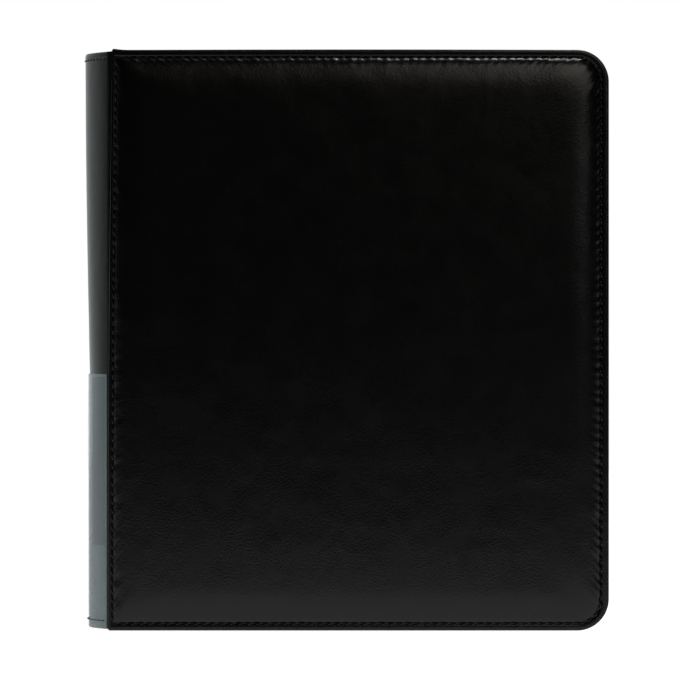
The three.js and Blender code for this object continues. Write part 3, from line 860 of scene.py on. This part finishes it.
def page_panel(number):
    """Nine welded pockets in three rows of three, each a little full, with an open top edge."""
    node = f"page_{number}_panel"
    low, high = (Vector(c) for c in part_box(node))
    mid = (low.y + high.y) / 2
    front, back = [], []
    for j in range(PAGE_ROWS + 1):
        v = j / PAGE_ROWS
        front_row, back_row = [], []
        for i in range(PAGE_ACROSS + 1):
            u = i / PAGE_ACROSS
            pu = (u * POCKETS) % 1.0
            pv = (v * POCKETS) % 1.0
            full = 1.0
            for share in (
                min(pu, 1 - pu) / WELD_SIDE, pv / WELD_FOOT, (POCKET_MOUTH - pv) / MOUTH_FADE
            ):
                full *= max(0.0, min(1.0, share))
            swell = 0
            if pv < POCKET_MOUTH:
                swell = math.sin(math.pi * pu) * math.sin(math.pi * min(1, pv / POCKET_MOUTH))
            x = low.x + (high.x - low.x) * u
            z = low.z + (high.z - low.z) * v
            thick = POCKET_FULL * full + POCKET_SWELL * swell
            front_row.append((x, mid - PAGE_CORE - thick * 0.55, z))
            back_row.append((x, mid + PAGE_CORE + thick * 0.25, z))
        front.append(front_row)
        back.append(back_row)
    name = f"page_{number}_pockets"
    verts, faces = closed_sheet(front, back)
    make_piece(name, verts, faces, PAGE, f"page_{number}", "page_film", (node,))


# ---- Building ----
cover_skin("front", "front_cover")
cover_skin("rear", "rear_cover")
cover_stitches("front", "front_cover")
cover_stitches("rear", "rear_cover")
spine_skin()
spine_hems()
fold_strip("front")
fold_strip("rear")
label_holder()
for which in ("straight", "round"):
    for level in ("lower", "middle", "upper"):
        ring_half(which, level)
for number in range(1, 7):
    page_panel(number)
    refine(f"page_{number}_strip", STRIP, bevel=0.08 * MM, segments=1)
for node in ("front_lining", "rear_lining", "spine_lining"):
    refine(node, LINING, bevel=0.2 * MM)
refine("front_inside_pocket", POCKET, bevel=0.15 * MM)
for node in ("front_board", "rear_board", "spine_board"):
    refine(node, BOARD, bevel=0.2 * MM)
for side in ("front", "rear"):
    pad = refine(f"{side}_padding", FOAM, bevel=0.4 * MM)
for side in ("front", "rear"):
    refine(f"{side}_seam_tab", SPINE_LEATHER, bevel=0.15 * MM)
for node in ("ring_base_plate", "ring_blade_outer", "ring_blade_inner"):
    refine(node, STEEL, bevel=0.18 * MM)
for node in ("ring_rivet_lower", "ring_rivet_upper"):
    refine(node, STEEL, bevel=0.15 * MM)
for end in ("upper", "lower"):
    refine(f"opening_lever_{end}", STEEL, bevel=0.2 * MM)
    refine(f"lever_pin_{end}", STEEL, bevel=0.1 * MM)


# ---- Floor, light and camera ----
FLOOR_FADE = (-0.75, -0.40)  # where the floor in front stops lighting the cover
FLOOR_REFLECTED = 0.5
FLOOR_GLOW = 0.96  # as the camera sees it
WORLD_FRONT = 0.006
WORLD_SIDE = 0.95
WORLD_FADE = (0.05, 0.98)  # from front to back, in the direction's y
WORLD_TINT = (0.93, 1.0, 1.0)


FLOOR_SIZE, FLOOR_DROP = 6.0, 0.0002


def studio_floor():
    """A pale floor that looks white from above and reflects softly in the covers."""
    bpy.ops.mesh.primitive_grid_add(
        x_subdivisions=8, y_subdivisions=8, size=FLOOR_SIZE, location=(0, 0, -FLOOR_DROP)
    )
    floor = bpy.context.object
    floor.name = "studio_floor"
    n = Nodes("white_floor")
    shade = n.colours(n.noise(3, 2), 0.3, 0.7, (0.86, 0.86, 0.86), (0.9, 0.9, 0.9))
    depth = n.add("ShaderNodeSeparateXYZ", {"Vector": n.position}).outputs["Y"]
    reach = n.range(depth, *FLOOR_FADE, 0.0, FLOOR_REFLECTED)
    seen = n.add("ShaderNodeLightPath").outputs["Is Camera Ray"]
    glow = n.add("ShaderNodeMix", {0: seen, 2: reach, 3: FLOOR_GLOW}).outputs[0]
    mixed = {0: seen, 6: (0.02, 0.02, 0.02, 1), 7: shade}
    facing = n.add("ShaderNodeMix", mixed, data_type="RGBA").outputs[2]
    floor.data.materials.append(n.finish(
        Base_Color=facing, Roughness=0.8, Emission_Color=(1, 1, 1, 1), Emission_Strength=glow,
        Specular_IOR_Level=0.0,
    ))


def studio_world():
    """White to the camera; otherwise dark in front and brighter towards the back."""
    world = bpy.data.worlds.new("studio")
    bpy.context.scene.world = world
    world.use_nodes = True
    tree = world.node_tree
    tree.nodes.clear()
    add = tree.nodes.new
    link = tree.links.new
    split = add("ShaderNodeSeparateXYZ")
    link(add("ShaderNodeTexCoord").outputs["Generated"], split.inputs[0])
    depth = add("ShaderNodeMapRange")
    link(split.outputs["Y"], depth.inputs["Value"])
    settings = {
        "From Min": WORLD_FADE[0], "From Max": WORLD_FADE[1],
        "To Min": WORLD_FRONT, "To Max": WORLD_SIDE,
    }
    for key, value in settings.items():
        depth.inputs[key].default_value = value
    seen = add("ShaderNodeLightPath").outputs["Is Camera Ray"]
    strength = add("ShaderNodeMix")
    link(seen, strength.inputs[0])
    link(depth.outputs[0], strength.inputs[2])
    strength.inputs[3].default_value = 1.0
    tint = add("ShaderNodeMix")
    tint.data_type = "RGBA"
    link(seen, tint.inputs[0])
    tint.inputs[6].default_value = (*WORLD_TINT, 1)
    tint.inputs[7].default_value = (1, 1, 1, 1)
    shade = add("ShaderNodeBackground")
    link(tint.outputs[2], shade.inputs["Color"])
    link(strength.outputs[0], shade.inputs["Strength"])
    link(shade.outputs[0], add("ShaderNodeOutputWorld").inputs[0])


WARM = (1.0, 0.93, 0.84)
CAMERA_IN_FROM_RIGHT, CAMERA_HEIGHT = 0.1302, 0.1411


def area_light(name, place, target, size, power, colour=(1, 1, 1)):
    data = bpy.data.lights.new(name, "AREA")
    data.shape = "RECTANGLE"
    data.size, data.size_y = size
    data.energy = power
    data.color = colour
    lamp = bpy.data.objects.new(name, data)
    lamp.location = place
    lamp.rotation_euler = (Vector(target) - Vector(place)).to_track_quat("-Z", "Y").to_euler()
    bpy.context.scene.collection.objects.link(lamp)
    lamp.visible_camera = False


CAMERA_DISTANCE = 2.25
FRAME_WIDTH = 0.3512  # of the front cover's plane, across the picture
SENSOR = 36.0


def camera():
    data = bpy.data.cameras.new("camera")
    data.sensor_width = SENSOR
    data.lens = SENSOR * CAMERA_DISTANCE / FRAME_WIDTH
    data.clip_end = 50
    eye = bpy.data.objects.new("camera", data)
    eye.location = (RIGHT - CAMERA_IN_FROM_RIGHT, -PAD_DEPTH - CAMERA_DISTANCE, CAMERA_HEIGHT)
    eye.rotation_euler = (math.pi / 2, 0, 0)
    bpy.context.scene.collection.objects.link(eye)
    bpy.context.scene.camera = eye


studio_floor()
studio_world()
area_light("top_box", (0.42, -1.3, 1.0), (0.05, 0, 0.2), (0.6, 0.82), 2.1, WARM)
area_light("overhead", (0.22, 0.02, 1.35), (0.1, 0, 0.28), (0.36, 0.17), 2.4)
area_light("right_box", (0.62, -1.45, 0.45), (0.12, 0, 0.22), (0.2, 0.3), 0.16)
camera()
bpy.context.scene.view_settings.view_transform = "Standard"
